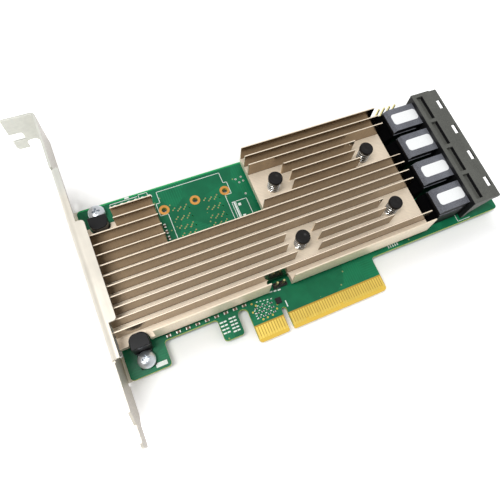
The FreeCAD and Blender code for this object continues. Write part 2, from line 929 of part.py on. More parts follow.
def edge_resistors():
    """Small field of chip resistors above the edge fingers."""
    resistors = []
    for row in range(resistor_rows):
        for column in range(resistor_columns):
            x = board_left + resistor_from_left + column * resistor_pitch_x
            y = resistor_height + row * resistor_pitch_y
            resistors.append(block(x, y, resistor_length, resistor_width, 0, resistor_thickness))
    return Part.makeCompound(resistors)


def site_chips():
    """Short column of chips between the heat sink and the bare connector site."""
    x = window_left + site_chip_from_window
    top = ring_height - site_chip_below_ring
    return Part.makeCompound([
        block(x, top - i * site_chip_pitch, chip_width, chip_length, 0, chip_thickness)
        for i in range(site_chip_count)
    ])


def back_capacitors():
    """Decoupling capacitors on the solder side, behind the controller."""
    low = solder_face - chip_thickness
    span = (back_capacitor_rows - 1) / 2
    places = [(i - span, j - span) for i in range(back_capacitor_rows) for j in range(back_capacitor_rows)]
    return Part.makeCompound([
        block(
            controller_x + i * back_capacitor_pitch,
            controller_height + j * back_capacitor_pitch,
            chip_length, chip_width, low, solder_face,
        )
        for i, j in places
    ])


def power_row(middle, size, height):
    """A row of square power parts under the heat sink's tail."""
    first = board_left + inductor_from_left
    return Part.makeCompound([
        block(first + i * inductor_pitch, middle, size, size, 0, height) for i in range(inductor_count)
    ])


def all_parts():
    """Every node's name with its solid."""
    header = header_places()
    jumper = jumper_places()
    parts = {
        "circuit_board": circuit_board(),
        "edge_contacts_front": edge_contacts(0, pad_thickness, short_pads_front),
        "edge_contacts_back": edge_contacts(solder_face - pad_thickness, solder_face, short_pads_back),
        "plated_hole_rings": plated_hole_rings(),
        "controller_substrate": block(
            controller_x, controller_height, controller_size, controller_size, 0, substrate_thickness
        ),
        "controller_lid": block(
            controller_x, controller_height, lid_size, lid_size, substrate_thickness, lid_top
        ),
        "thermal_pad": block(
            controller_x, controller_height, thermal_pad_size, thermal_pad_size, lid_top, sink_under
        ),
        "heat_sink": heat_sink(),
        "bracket": bracket(),
        "bracket_screws": Part.makeCompound([
            bracket_screw(screw_lower_height), bracket_screw(screw_upper_height)
        ]),
        "sink_clip_lower": sink_clip(screw_lower_height, sink_lower_edge),
        "sink_clip_upper": sink_clip(screw_upper_height, clip_relief_edge),
        "connector_shroud": connector_shroud(),
        "header_base": header_base(header, header_base_height),
        "header_pins": header_pins(header, header_pin_top),
        "jumper_base": header_base(jumper, jumper_base_height),
        "jumper_pins": header_pins(jumper, jumper_pin_top),
        "edge_capacitors": edge_capacitors(),
        "edge_resistors": edge_resistors(),
        "site_chips": site_chips(),
        "tongue_chip": block(
            tongue_chip_from_key, key_depth + tongue_chip_above_key,
            tongue_chip_length, tongue_chip_width, 0, tongue_chip_thickness,
        ),
        "back_capacitors": back_capacitors(),
        "regulator_inductors": power_row(inductor_middle, inductor_size, inductor_height),
        "regulator_chips": power_row(regulator_middle, regulator_size, regulator_height),
        "flash_chip": block(
            board_left + flash_from_left, flash_middle, flash_length, flash_width, 0, flash_height
        ),
        "crystal": block(
            board_left + crystal_from_left, crystal_middle, crystal_length, crystal_width, 0, crystal_height
        ),
    }
    for number, (x, y) in enumerate(pin_places, 1):
        parts[f"push_pin_{number}"] = push_pin(x, y)
        parts[f"pin_spring_{number}"] = pin_spring(x, y)
    for number, height in enumerate(port_heights, 1):
        parts[f"receptacle_{number}"] = receptacle(height)
        parts[f"contact_set_{number}"] = contact_set(height)
        parts[f"terminal_block_{number}"] = terminal_block(height)
        parts[f"port_label_{number}"] = port_label(height)
    return parts


os.makedirs("parts", exist_ok=True)
for name, shape in all_parts().items():
    shape.exportStep(f"parts/{name}.step")
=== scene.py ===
import json
import logging
import math
from collections.abc import Callable, Mapping, Sequence
from dataclasses import dataclass
from enum import Enum
from functools import partial

import bpy
from mathutils import Matrix, Vector

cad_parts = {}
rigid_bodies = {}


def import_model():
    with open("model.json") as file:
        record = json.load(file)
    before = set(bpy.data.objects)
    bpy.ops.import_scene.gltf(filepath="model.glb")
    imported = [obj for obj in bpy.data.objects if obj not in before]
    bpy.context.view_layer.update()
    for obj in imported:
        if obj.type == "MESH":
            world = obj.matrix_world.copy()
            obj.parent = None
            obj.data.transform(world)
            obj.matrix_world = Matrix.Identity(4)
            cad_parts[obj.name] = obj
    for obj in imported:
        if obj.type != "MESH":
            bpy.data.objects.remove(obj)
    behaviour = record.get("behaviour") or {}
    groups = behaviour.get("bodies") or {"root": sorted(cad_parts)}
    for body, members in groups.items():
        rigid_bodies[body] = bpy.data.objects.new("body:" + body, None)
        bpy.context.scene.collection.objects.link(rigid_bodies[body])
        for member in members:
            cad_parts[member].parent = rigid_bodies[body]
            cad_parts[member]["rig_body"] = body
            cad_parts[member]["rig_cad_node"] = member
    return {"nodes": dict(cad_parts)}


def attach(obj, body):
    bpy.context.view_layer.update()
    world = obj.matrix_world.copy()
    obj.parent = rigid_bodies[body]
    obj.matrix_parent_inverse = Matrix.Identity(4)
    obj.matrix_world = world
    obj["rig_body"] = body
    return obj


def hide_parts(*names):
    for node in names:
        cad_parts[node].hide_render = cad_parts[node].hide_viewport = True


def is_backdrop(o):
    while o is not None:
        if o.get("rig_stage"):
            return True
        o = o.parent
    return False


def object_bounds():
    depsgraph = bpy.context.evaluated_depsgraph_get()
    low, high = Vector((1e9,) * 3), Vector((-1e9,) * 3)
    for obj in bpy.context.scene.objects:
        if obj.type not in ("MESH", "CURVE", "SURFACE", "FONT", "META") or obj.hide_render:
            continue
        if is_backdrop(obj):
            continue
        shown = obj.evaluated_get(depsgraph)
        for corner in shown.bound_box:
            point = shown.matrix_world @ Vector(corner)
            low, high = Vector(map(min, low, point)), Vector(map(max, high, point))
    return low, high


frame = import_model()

log = logging.getLogger("host_bus_adapter")

Point = tuple[float, float]
Places = tuple[Point, ...]
Triple = tuple[float, float, float]
Colour = Triple

# Lengths are in millimetres, and in metres once multiplied by MM. LEFT is the board's left edge.
MM = 0.001
LEFT = -55.4
SOLDER_SIDE = -1.57
# The two weld distances are in metres.
WELD = 1e-7
NODE_WELD = 2e-6
FLAT = math.radians(0.5)
SHARP = math.radians(35)


def rgb(red: int, green: int, blue: int) -> Colour:
    """Turn a screen colour, each part from 0 to 255, into the linear values that shaders take."""
    shares = (red / 255, green / 255, blue / 255)
    return tuple(s / 12.92 if s <= 0.04045 else ((s + 0.055) / 1.055) ** 2.4 for s in shares)


def toned(colour: Colour, factor: float) -> Colour:
    """A colour made darker or lighter by a factor, up to white."""
    return tuple(min(1.0, part * factor) for part in colour)


def even(value: float) -> Triple:
    """The same value three times: a grey, or a scale for every axis."""
    return (value, value, value)


class Axis(Enum):
    """A direction of the card's frame, with its unit vector."""

    ALONG = (1.0, 0.0, 0.0)
    UP = (0.0, 0.0, 1.0)


class Grip(Enum):
    """What edit mode selects."""

    FACES = "FACE"
    POINTS = "VERT"


class Signal:
    """A shader socket with arithmetic: each operator adds the Math node that it needs."""

    def __init__(self, graph: "Graph", socket: bpy.types.NodeSocket) -> None:
        """Keep the graph and the socket."""
        self.graph = graph
        self.socket = socket

    def maths(self, operation: str, *operands: "Operand") -> "Signal":
        """Add a Math node for an operation on operands, in order, and take its result."""
        return self.graph.node("ShaderNodeMath", dict(enumerate(operands)), {"operation": operation})

    def __add__(self, other: "Operand") -> "Signal":
        """Add."""
        return self.maths("ADD", self, other)

    def __sub__(self, other: "Operand") -> "Signal":
        """Subtract."""
        return self.maths("SUBTRACT", self, other)

    def __rsub__(self, other: "Operand") -> "Signal":
        """Subtract from a number."""
        return self.maths("SUBTRACT", other, self)

    def __mul__(self, other: "Operand") -> "Signal":
        """Multiply."""
        return self.maths("MULTIPLY", self, other)

    def __gt__(self, other: "Operand") -> "Signal":
        """1 where this is greater, else 0."""
        return self.maths("GREATER_THAN", self, other)

    def __lt__(self, other: "Operand") -> "Signal":
        """1 where this is less, else 0."""
        return self.maths("LESS_THAN", self, other)

    def __abs__(self) -> "Signal":
        """Size without sign."""
        return self.maths("ABSOLUTE", self)

    __radd__ = __add__
    __rmul__ = __mul__

    def larger(self, other: "Operand") -> "Signal":
        """The larger of two values."""
        return self.maths("MAXIMUM", self, other)

    def within(self, low: float, high: float) -> "Signal":
        """1 between two numbers, else 0."""
        return (self > low) * (self < high)

    def smooth(self, low: float, high: float, start: float = 0.0, end: float = 1.0) -> "Signal":
        """Ease from a start value, held up to low, to an end value, held from high on."""
        inputs = {"Value": self, "From Min": low, "From Max": high, "To Min": start, "To Max": end}
        return self.graph.node("ShaderNodeMapRange", inputs, {"interpolation_type": "SMOOTHSTEP"})

    def full(self) -> "Signal":
        """Noise about 0.5, stretched to run from 0 to 1."""
        return self.smooth(0.3, 0.7)

    def swing(self, spread: float) -> "Signal":
        """Noise about 0.5, turned into a swing about 0."""
        return (self - 0.5) * spread

    def stripes(self, pitch: float, width: float) -> "Signal":
        """1 on even stripes of some pitch and width, else 0."""
        phase = self.maths("FRACT", (self + pitch / 2) * (1 / pitch))
        return abs(phase - 0.5) < width / pitch / 2


Operand = Signal | float
Value = Operand | Colour
Settings = Mapping[str, object]
Inputs = Mapping[str | int, Value]


class Graph:
    """A node tree in the making: every node of a material or of the room comes from here."""

    def __init__(self, tree: bpy.types.NodeTree) -> None:
        """Empty the tree."""
        self.tree = tree
        self.tree.nodes.clear()

    def feed(self, socket: bpy.types.NodeSocket, value: Value) -> None:
        """Link or set one socket.

        Args:
            socket: The socket to feed.
            value: A signal to link, or a number or colour to set.
        """
        if isinstance(value, Signal):
            self.tree.links.new(value.socket, socket)
        elif socket.type == "RGBA" and len(value) == 3:
            socket.default_value = (*value, 1.0)
        else:
            socket.default_value = value

    def add(
        self, kind: str, inputs: Inputs | None = None, settings: Settings | None = None
    ) -> bpy.types.Node:
        """Add any node.

        Args:
            kind: The node's type.
            inputs: Values or links of its sockets, by name or number.
            settings: Its properties, set first.

        Returns:
            The node.
        """
        made = self.tree.nodes.new(kind)
        for key, value in (settings or {}).items():
            setattr(made, key, value)
        for key, value in (inputs or {}).items():
            self.feed(made.inputs[key], value)
        return made

    def node(
        self, kind: str, inputs: Inputs | None = None, settings: Settings | None = None, output: str | int = 0
    ) -> Signal:
        """Add any node and take one of its outputs."""
        return Signal(self, self.add(kind, inputs, settings).outputs[output])

    def split(self, vector: Signal) -> list[Signal]:
        """The three parts of a vector."""
        parts = self.add("ShaderNodeSeparateXYZ", {"Vector": vector})
        return [Signal(self, part) for part in parts.outputs]

    def mix(self, share: Operand, low: Value, high: Value) -> Signal:
        """Mix two colours by a share."""
        return self.node("ShaderNodeMix", {0: share, 6: low, 7: high}, {"data_type": "RGBA"}, 2)


class Shader(Graph):
    """The node tree of one material, with a Principled shader at its end."""

    def __init__(self, name: str) -> None:
        """Make an empty material that shows a Principled shader.

        Args:
            name: The material's name.
        """
        self.material = bpy.data.materials.new(name)
        self.material.use_nodes = True
        super().__init__(self.material.node_tree)
        self.surface = self.add("ShaderNodeBsdfPrincipled")
        self.add("ShaderNodeOutputMaterial", {"Surface": Signal(self, self.surface.outputs["BSDF"])})
        self.place = self.node("ShaderNodeTexCoord", output="Object")
        self.x, self.y, _ = self.split(self.place)

    def stretched(self, scale: Triple, turn: float = 0.0) -> Signal:
        """Object coordinates with each axis scaled, after a turn about the upright axis."""
        turned = self.node("ShaderNodeMapping", {"Vector": self.place, "Rotation": (0.0, 0.0, turn)})
        return self.node("ShaderNodeMapping", {"Vector": turned, "Scale": scale})

    def noise(self, scale: float, detail: float = 3.0, vector: Signal | None = None) -> Signal:
        """Cloudy noise about 0.5, by waves per metre, octaves and coordinates."""
        inputs = {"Vector": vector or self.place, "Scale": scale, "Detail": detail}
        return self.node("ShaderNodeTexNoise", inputs)

    def cells(self, scale: float) -> tuple[Signal, list[Signal]]:
        """Cell pattern: the distance to the nearest cell's middle, and the cell's three random numbers."""
        made = self.add("ShaderNodeTexVoronoi", {"Vector": self.place, "Scale": scale}).outputs
        return Signal(self, made["Distance"]), self.split(Signal(self, made["Color"]))

    def bump(self, height: Signal, distance: float, strength: float) -> Signal:
        """A bumped normal from a height between 0 and 1."""
        inputs = {"Height": height, "Distance": distance, "Strength": strength}
        return self.node("ShaderNodeBump", inputs)

    def facing(self) -> list[Signal]:
        """The way that a face looks, as three parts from -1 to 1."""
        return self.split(self.node("ShaderNodeTexCoord", output="Normal"))

    def show(self, **inputs: Value) -> None:
        """Feed the Principled shader's sockets, named with underscores."""
        for key, value in inputs.items():
            self.feed(self.surface.inputs[key.replace("_", " ")], value)


@dataclass(frozen=True)
class Finish:
    """A surface finish: a name and a way to make its material once."""

    name: str

    def make(self, shader: Shader) -> None:
        """Wire the finish into a shader; each kind of finish has its own way."""
        raise NotImplementedError

    def material(self) -> bpy.types.Material:
        """The finish's material, made at its first use and named apart from the record's slots.

        Returns:
            The material.
        """
        look = f"{self.name}_look"
        if look not in bpy.data.materials:
            self.make(Shader(look))
        return bpy.data.materials[look]


@dataclass(frozen=True)
class Metal(Finish):
    """Plated metal with a drawn grain, faint blotches and fine scratches."""

    colour: Colour
    roughness: float = 0.25
    spread: float = 0.10
    grain: Triple = (60.0, 900.0, 900.0)
    metallic: float = 1.0
    blotch: float = 90.0
    tint: float = 0.12
    depth: float = 0.01 * MM

    def make(self, shader: Shader) -> None:
        """Wire the metal.

        Args:
            shader: The empty shader.
        """
        grain = shader.noise(1.0, 4.0, shader.stretched(self.grain))
        blotch = shader.noise(self.blotch)
        dull, bright = toned(self.colour, 1 - self.tint), toned(self.colour, 1 + self.tint / 2)
        shader.show(
            Base_Color=shader.mix((grain * 0.5 + blotch * 0.5).full(), dull, bright),
            Metallic=self.metallic,
            Roughness=grain.swing(self.spread) + blotch.swing(self.spread) + self.roughness,
            Normal=shader.bump(grain, self.depth, 0.25),
        )


@dataclass(frozen=True)
class Plated(Metal):
    """Plated sheet: bright on the flange, greyer towards the tab, and darker in flecks on the face beside the
    card as painted shade.
    """

    colour: Colour = rgb(238, 231, 217)
    grey: Colour = rgb(229, 229, 220)
    # Darker flecked colour of the face beside the card: painted shade.
    mottled_shade: Colour = rgb(188, 179, 171)
    fade: Point = (66.0 * MM, 74.0 * MM)
    grain: Triple = (700.0, 60.0, 700.0)
    fleck: float = 1500.0
    blotch: float = 140.0
    spread: float = 0.12
    roughness: float = 0.38
    metallic: float = 0.35

    def make(self, shader: Shader) -> None:
        """Wire the plating.

        Args:
            shader: The empty shader.
        """
        drawn = shader.noise(1.0, 4.0, shader.stretched(self.grain))
        speckle, blotch = shader.noise(self.fleck), shader.noise(self.blotch)
        colour = shader.mix(shader.y.smooth(*self.fade), self.colour, self.grey)
        dull = shader.mix(self.tint, colour, even(0.0))
        colour = shader.mix((drawn * 0.5 + blotch * 0.5).full(), dull, colour)
        # Faces turned towards the card take the darker flecks: painted shade.
        inner = shader.facing()[0].smooth(0.5, 0.8)
        colour = shader.mix(inner * speckle.smooth(0.36, 0.6, 1.0, 0.55), colour, self.mottled_shade)
        shader.show(
            Base_Color=colour,
            Metallic=self.metallic,
            Roughness=drawn.swing(self.spread) + blotch.swing(self.spread) + self.roughness,
            Normal=shader.bump(drawn + speckle * inner * 2.0, self.depth, 0.25),
        )


@dataclass(frozen=True)
class Plastic(Finish):
    """Moulded plastic with a spark-eroded skin and slight flow marks."""

    colour: Colour
    roughness: float = 0.45
    pebble: float = 5000.0
    depth: float = 0.02 * MM
    variety: float = 0.15
    gloss: float = 0.25
    flow: float = 160.0
    flow_stretch: Triple = (1.0, 0.4, 1.0)

    def make(self, shader: Shader) -> None:
        """Wire the plastic.

        Args:
            shader: The empty shader.
        """
        pebble = shader.noise(self.pebble, 2.0)
        flow = shader.noise(self.flow, 3.0, shader.stretched(self.flow_stretch))
        low, high = toned(self.colour, 1 - self.variety), toned(self.colour, 1 + self.variety)
        shader.show(
            Base_Color=shader.mix((pebble * 0.6 + flow * 0.4).full(), low, high),
            Roughness=pebble.swing(0.2) + flow.swing(0.1) + self.roughness,
            Specular_IOR_Level=self.gloss,
            Normal=shader.bump(pebble, self.depth, 0.6),
        )


@dataclass(frozen=True)
class Anodised(Finish):
    """Anodising: satin flats brushed aslant, and shinier fin sides with upright strokes, whose darker colour
    between the fins is painted shade.
    """

    flat: Colour = rgb(254, 237, 213)
    # Colour of the fin sides between the fins, darker than the flats: painted shade.
    side: Colour = rgb(151, 134, 112)
    front_edge: float = 17.4 * MM
    flat_metal: float = 0.4
    flat_rough: float = 0.45
    side_rough: float = 0.2
    front_shine: float = 0.1
    brush: Triple = (500.0, 3200.0, 500.0)
    brush_turn: float = 0.7
    strokes: Triple = (1100.0, 200.0, 30.0)
    cloud: float = 60.0
    wear: float = 0.92
    depth: float = 0.01 * MM

    def make(self, shader: Shader) -> None:
        """Wire the anodising.

        Args:
            shader: The empty shader.
        """
        across, level = (abs(part).smooth(0.4, 0.8) for part in shader.facing()[1:])
        inner = shader.y > self.front_edge
        # The fin sides behind the front face take the darker side colour: painted shade.
        between, shine = across * inner, across * (1 - inner) * self.front_shine
        brushed = shader.noise(1.0, 3.0, shader.stretched(self.brush, self.brush_turn))
        strokes = shader.noise(1.0, 2.0, shader.stretched(self.strokes))
        flat = shader.mix(brushed.full(), toned(self.flat, self.wear), self.flat)
        side = shader.mix(strokes.full(), toned(self.side, self.wear), self.side)
        rough = shader.noise(self.cloud, 2.0).swing(0.04) + self.flat_rough
        shader.show(
            Base_Color=shader.mix(between, flat, side),
            Metallic=between * (1.0 - self.flat_metal) + shine + self.flat_metal,
            Roughness=between * (self.side_rough - self.flat_rough) - shine * 0.5 + rough,
            Normal=shader.bump(brushed * level, self.depth, 0.2),
        )


@dataclass(frozen=True)
class SolderMask(Finish):
    """Green solder mask over copper: pours, traces and vias beneath it, a pale glass-fibre rim, and a painted
    highlight along the far edge.
    """

    pour: Colour = rgb(12, 117, 77)
    gap: Colour = rgb(8, 102, 67)
    trace: Colour = rgb(28, 138, 92)
    # Lighter green along the board's far edge: painted highlight.
    far_edge_highlight: Colour = rgb(40, 168, 96)
    rim: Colour = rgb(196, 208, 110)
    bare: Colour = rgb(192, 150, 56)
    plated: Colour = rgb(231, 193, 78)
    land: Colour = rgb(170, 170, 110)
    trace_pitch: Point = (0.9 * MM, 0.22 * MM)
    face_edge: Point = (0.55, 0.75)
    far_edge: Point = (68.2 * MM, 68.5 * MM)
    bevel_top: float = 1.2 * MM
    plated_top: Point = (1.9 * MM, 2.3 * MM)
    finger_top: float = 6.2 * MM
    tongue: Point = (-12.2 * MM, 39.2 * MM)
    roughness: float = 0.34
    gloss: float = 0.25
    depth: float = 0.02 * MM

    def make(self, shader: Shader) -> None:
        """Wire the board.

        Args:
            shader: The empty shader.
        """
        along, filled, _ = shader.cells(95.0)[1]
        upright = shader.x.stripes(*self.trace_pitch) * (along > 0.5)
        level = shader.y.stripes(*self.trace_pitch) * (along < 0.5)
        traced = (upright + level) * (filled > 0.6)
        cloud = shader.noise(220.0, 4.0)
        colour = shader.mix((filled * 0.3 + cloud * 0.7).full(), self.gap, self.pour)
        colour = shader.mix(traced * 0.4, colour, self.trace)
        spot, (chosen, _, _) = shader.cells(420.0)
        via = (spot < 0.13) * (chosen > 0.8)
        colour = shader.mix(via * 0.7, colour, self.land)
        # Painted highlight along the far edge.
        colour = shader.mix(shader.y.smooth(*self.far_edge), colour, self.far_edge_highlight)
        tongue = shader.x.within(*self.tongue)
        edging = shader.mix(shader.y.smooth(*self.plated_top), self.plated, self.bare)
        colour = shader.mix((shader.y < self.finger_top) * tongue, colour, edging)
        side = 1 - abs(shader.facing()[2]).smooth(*self.face_edge)
        side = side * (1 - (shader.y < self.bevel_top) * tongue)
        weave = shader.noise(2600.0, 2.0, shader.stretched((1.0, 1.0, 5.0)))
        colour = shader.mix(side, colour, shader.mix(weave, toned(self.rim, 0.75), self.rim))
        shader.show(
            Base_Color=colour,
            Roughness=side * 0.3 + cloud.swing(0.12) + self.roughness,
            Specular_IOR_Level=self.gloss,
            Normal=shader.bump(traced * 0.6 + via * 0.4 + cloud * 0.3, self.depth, 0.4),
        )


@dataclass(frozen=True)
class Speckled(Finish):
    """Two tones in fine flecks: fired ceramic, ferrite or coated label stock."""

    colour: Colour
    fleck: Colour
    waves: float = 4200.0
    detail: float = 3.0
    stretch: Triple = even(1.0)
    change: Point = (0.45, 0.65)
    roughness: float = 0.4
    relief: float = 0.4
    depth: float = 0.01 * MM

    def make(self, shader: Shader) -> None:
        """Wire the flecks.

        Args:
            shader: The empty shader.
        """
        speckle = shader.noise(self.waves, self.detail, shader.stretched(self.stretch))
        shader.show(
            Base_Color=shader.mix(speckle.smooth(*self.change), self.colour, self.fleck),
            Roughness=speckle * 0.2 + self.roughness,
            Normal=shader.bump(speckle, self.depth, self.relief),
        )


MASK = SolderMask("green_solder_mask")
GOLD = Metal("finger_gold", rgb(246, 217, 110), 0.34, 0.10, (900.0, 40.0, 900.0))
BRASS = Metal("pin_gold", rgb(246, 234, 168), 0.30, 0.10, even(500.0))
COPPER = Metal("land_copper", rgb(240, 172, 92), 0.34, 0.12, even(400.0))
VIA = Metal("via_tin", rgb(206, 178, 132), 0.40, 0.12, even(700.0))
ANODISED_SHADED_SIDES = Anodised("champagne_anodising_shaded_sides")
NICKEL = Plated("bracket_nickel")
BRIGHT = Metal("screw_zinc", rgb(216, 221, 226), 0.30, 0.10, even(500.0), 0.85)
CHROME = Metal("spring_chrome", rgb(232, 232, 230), 0.18, 0.08, even(500.0))
TIN = Metal("chip_tin", rgb(240, 238, 234), 0.36, 0.14, even(900.0))
LID = Metal("lid_nickel", rgb(205, 205, 205), 0.30)
NYLON = Plastic("pin_nylon", rgb(22, 19, 19), 0.35, 3600.0)
CLIP = Plastic("clip_black", rgb(24, 24, 25), 0.34, 3000.0)
HOOD = Plastic("hood_plastic", rgb(92, 93, 88), 0.5, 2600.0, 0.03 * MM, 0.2)
# Dark colour for the hood's faces turned to the left: painted shade.
HOOD_BACK_SHADE = Plastic("hood_back_painted_shade", rgb(26, 26, 28), 0.4, 2600.0)
# Near-black colour of the socket bodies' sides: painted shade.
SOCKET_SIDES_SHADED = Plastic("socket_plastic", rgb(14, 14, 16), 0.45, 2600.0, gloss=0.15)
ROOF = Plastic("socket_roof", rgb(106, 108, 115), 0.42, 2600.0, 0.03 * MM, 0.35)
# Black plastic darkened nearly to black: its own colour plus painted shade.
TERMINAL_SHADED = Plastic("terminal_plastic_in_shade", rgb(5, 5, 6), 0.6, 2600.0, gloss=0.02)
HEADER = Plastic("header_plastic", rgb(28, 28, 28), 0.4)
EPOXY = Plastic("chip_epoxy", rgb(30, 30, 32), 0.5, 4200.0)
SUBSTRATE = Plastic("laminate_green", rgb(20, 78, 48), 0.4, 4200.0)
COMPOUND = Plastic("compound_grey", rgb(168, 168, 164), 0.7, 1500.0, 0.05 * MM)
# Dark colour for the middle of each land: painted shade of a hole.
HOLE_SHADE = Plastic("hole_painted_shade", rgb(30, 34, 26), 0.8)
INK = Plastic("legend_ink", rgb(232, 240, 234), 0.6, 6000.0)
GLOW = Plastic("thin_mask", rgb(44, 190, 84), 0.4, 6000.0)
PAPER = Speckled(
    "label_stock", toned(rgb(250, 252, 252), 0.95), rgb(250, 252, 252), 1800.0, 4.0, (1.0, 3.0, 1.0),
    (0.35, 0.6), 0.45, 0.3,
)
CAPACITOR = Speckled("capacitor_body", rgb(104, 78, 62), rgb(132, 102, 80))
RESISTOR = Speckled("resistor_body", rgb(26, 26, 28), rgb(44, 44, 48))
FERRITE = Speckled("inductor_ferrite", rgb(70, 70, 72), rgb(96, 96, 98))


def span(low: Sequence[float], high: Sequence[float]) -> tuple[list[float], list[float]]:
    """The middle and the size between two corners, in metres."""
    pairs = list(zip(low, high))
    return [(a + b) / 2 * MM for a, b in pairs], [(b - a) * MM for a, b in pairs]


class Piece:
    """One mesh object with the operators used on it; places and sizes are in millimetres."""

    def __init__(self, shape: bpy.types.Object) -> None:
        """Keep the object."""
        self.shape = shape

    @staticmethod
    def clear() -> None:
        """Leave edit mode and deselect everything."""
        if bpy.context.mode != "OBJECT":
            bpy.ops.object.mode_set(mode="OBJECT")
        bpy.ops.object.select_all(action="DESELECT")

    @staticmethod
    def active() -> "Piece":
        """The active object as a piece."""
        return Piece(bpy.context.view_layer.objects.active)

    def hold(self, *others: "Piece") -> "Piece":
        """Select only this piece and others, and make this one active.

        Args:
            others: The others.

        Returns:
            This piece.
        """
        self.clear()
        for each in (self, *others):
            each.shape.select_set(True)
        bpy.context.view_layer.objects.active = self.shape
        return self

    def named(self, name: str) -> "Piece":
        """Name the object."""
        self.shape.name = name
        return self

    @staticmethod
    def settled(name: str) -> "Piece":
        """Name the active object and put its place, turn and scale into its mesh.

        Args:
            name: The name.

        Returns:
            The object as a piece.
        """
        made = Piece.active().named(name).hold()
        made.shape.data.name = name
        bpy.ops.object.transform_apply(location=True, rotation=True, scale=True)
        return made

    @staticmethod
    def block(name: str, low: Sequence[float], high: Sequence[float]) -> "Piece":
        """Add a cube between two corners.

        Args:
            name: The object's name.
            low: Lowest corner.
            high: Highest corner.

        Returns:
            The cube, with its place in its mesh.
        """
        Piece.clear()
        middle, size = span(low, high)
        bpy.ops.mesh.primitive_cube_add(size=1.0, location=middle, scale=size)
        return Piece.settled(name)

    @staticmethod
    def sheet(name: str, low: Point, high: Point, height: float) -> "Piece":
        """Add a level plane.

        Args:
            name: The object's name.
            low: Lowest corner in plan.
            high: Highest corner in plan.
            height: Its height.

        Returns:
            The plane, with its place in its mesh.
        """
        Piece.clear()
        middle, size = span(low, high)
        bpy.ops.mesh.primitive_plane_add(size=1.0, location=(*middle, height * MM))
        bpy.context.object.scale = (*size, 1.0)
        return Piece.settled(name)

    def edit(self, grip: Grip = Grip.FACES) -> "Piece":
        """Open the piece in edit mode with everything selected.

        Args:
            grip: What is selected.

        Returns:
            The piece.
        """
        self.hold()
        bpy.ops.object.mode_set(mode="EDIT")
        bpy.ops.mesh.select_mode(type=grip.value)
        bpy.ops.mesh.select_all(action="SELECT")
        return self

    def pick(self, test: Callable[[Vector, Vector], bool]) -> "Piece":
        """Open the piece in edit mode with the faces that pass a test selected.

        Args:
            test: Takes a face's middle and normal.

        Returns:
            The piece.
        """
        self.edit()
        bpy.ops.mesh.select_all(action="DESELECT")
        bpy.ops.object.mode_set(mode="OBJECT")
        for face in self.shape.data.polygons:
            face.select = test(face.center, face.normal)
        bpy.ops.object.mode_set(mode="EDIT")
        return self

    def raised(self, x: float, z: float) -> "Piece":
        """Extrude what is selected along the card and upwards."""
        bpy.ops.mesh.extrude_region_move(TRANSFORM_OT_translate={"value": (x * MM, 0, z * MM)})
        return self

    def worked(self, *steps: Callable[[], object]) -> "Piece":
        """Run operators on the whole mesh, in order, and leave edit mode.

        Args:
            steps: The operators, with their settings.

        Returns:
            The piece.
        """
        self.edit(Grip.POINTS)
        for step in steps:
            step()
        self.clear()
        return self

    def closed(self) -> "Piece":
        """Merge doubles and point the faces outwards."""
        weld = partial(bpy.ops.mesh.remove_doubles, threshold=WELD)
        return self.worked(weld, partial(bpy.ops.mesh.normals_make_consistent, inside=False))

    @staticmethod
    def turned(name: str, profile: Sequence[Point], steps: int = 40) -> "Piece":
        """Spin a profile about the upright axis.

        Args:
            name: The object's name.
            profile: Radius and height of each point.
            steps: Steps of the full turn.

        Returns:
            The turned piece, standing at the origin.
        """
        Piece.clear()
        radius, height = profile[0]
        bpy.ops.mesh.primitive_plane_add(size=0.1 * MM, location=(radius * MM, 0, height * MM))
        piece = Piece.settled(name).edit(Grip.POINTS)
        bpy.ops.mesh.merge(type="CENTER")
        for (r_from, z_from), (r_to, z_to) in zip(profile, profile[1:]):
            piece.raised(r_to - r_from, z_to - z_from)
        bpy.ops.mesh.select_all(action="SELECT")
        bpy.ops.mesh.spin(steps=steps, angle=2 * math.pi, center=(0, 0, 0), axis=Axis.UP.value)
        return piece.closed()

    def modified(self, kind: str, **settings: object) -> "Piece":
        """Add a modifier and apply it.

        Args:
            kind: The modifier's type.
            settings: Its properties.

        Returns:
            The piece.
        """
        self.hold()
        modifier = self.shape.modifiers.new(kind.lower(), kind)
        for key, value in settings.items():
            setattr(modifier, key, value)
        bpy.ops.object.modifier_apply(modifier=modifier.name)
        return self

    def softened(self, width: float, segments: int) -> "Piece":
        """Round the sharp edges by a bevel and shade the large faces flat.

        Args:
            width: Width of the bevel.
            segments: Its segments.

        Returns:
            The piece.
        """
        self.modified(
            "BEVEL", width=width * MM, segments=segments, limit_method="ANGLE", angle_limit=SHARP,
            use_clamp_overlap=False,
        )
        return self.smoothed().modified("WEIGHTED_NORMAL", weight=100, keep_sharp=True)

    def smoothed(self, degrees: float = 32.0) -> "Piece":
        """Shade smooth where faces meet at less than an angle.

        Args:
            degrees: The angle.

        Returns:
            The piece.
        """
        self.hold()
        bpy.ops.object.shade_smooth_by_angle(angle=math.radians(degrees))
        return self

    def moved(self, x: float, y: float) -> "Piece":
        """Move the mesh in plan."""
        return self.worked(partial(bpy.ops.transform.translate, value=(x * MM, y * MM, 0.0)))

    def spun(self, angle: float) -> "Piece":
        """Turn the mesh about the upright axis at the origin."""
        turn = partial(bpy.ops.transform.rotate, value=angle, orient_axis="Z", center_override=(0, 0, 0))
        return self.worked(turn)

    def twin(self) -> "Piece":
        """A copy of the piece with its own mesh.

        Returns:
            The copy.
        """
        self.hold()
        bpy.ops.object.duplicate(linked=False)
        return self.active()

    def copy(self, x: float, y: float) -> "Piece":
        """Copy the piece and move the copy in plan."""
        return self.twin().moved(x, y)

    def repeated(self, places: Sequence[Point]) -> "Piece":
        """Set a piece made at the origin at each of some places, as one piece."""
        copies = [self.copy(x, y) for x, y in places[1:]]
        return self.moved(*places[0]).joined(*copies)

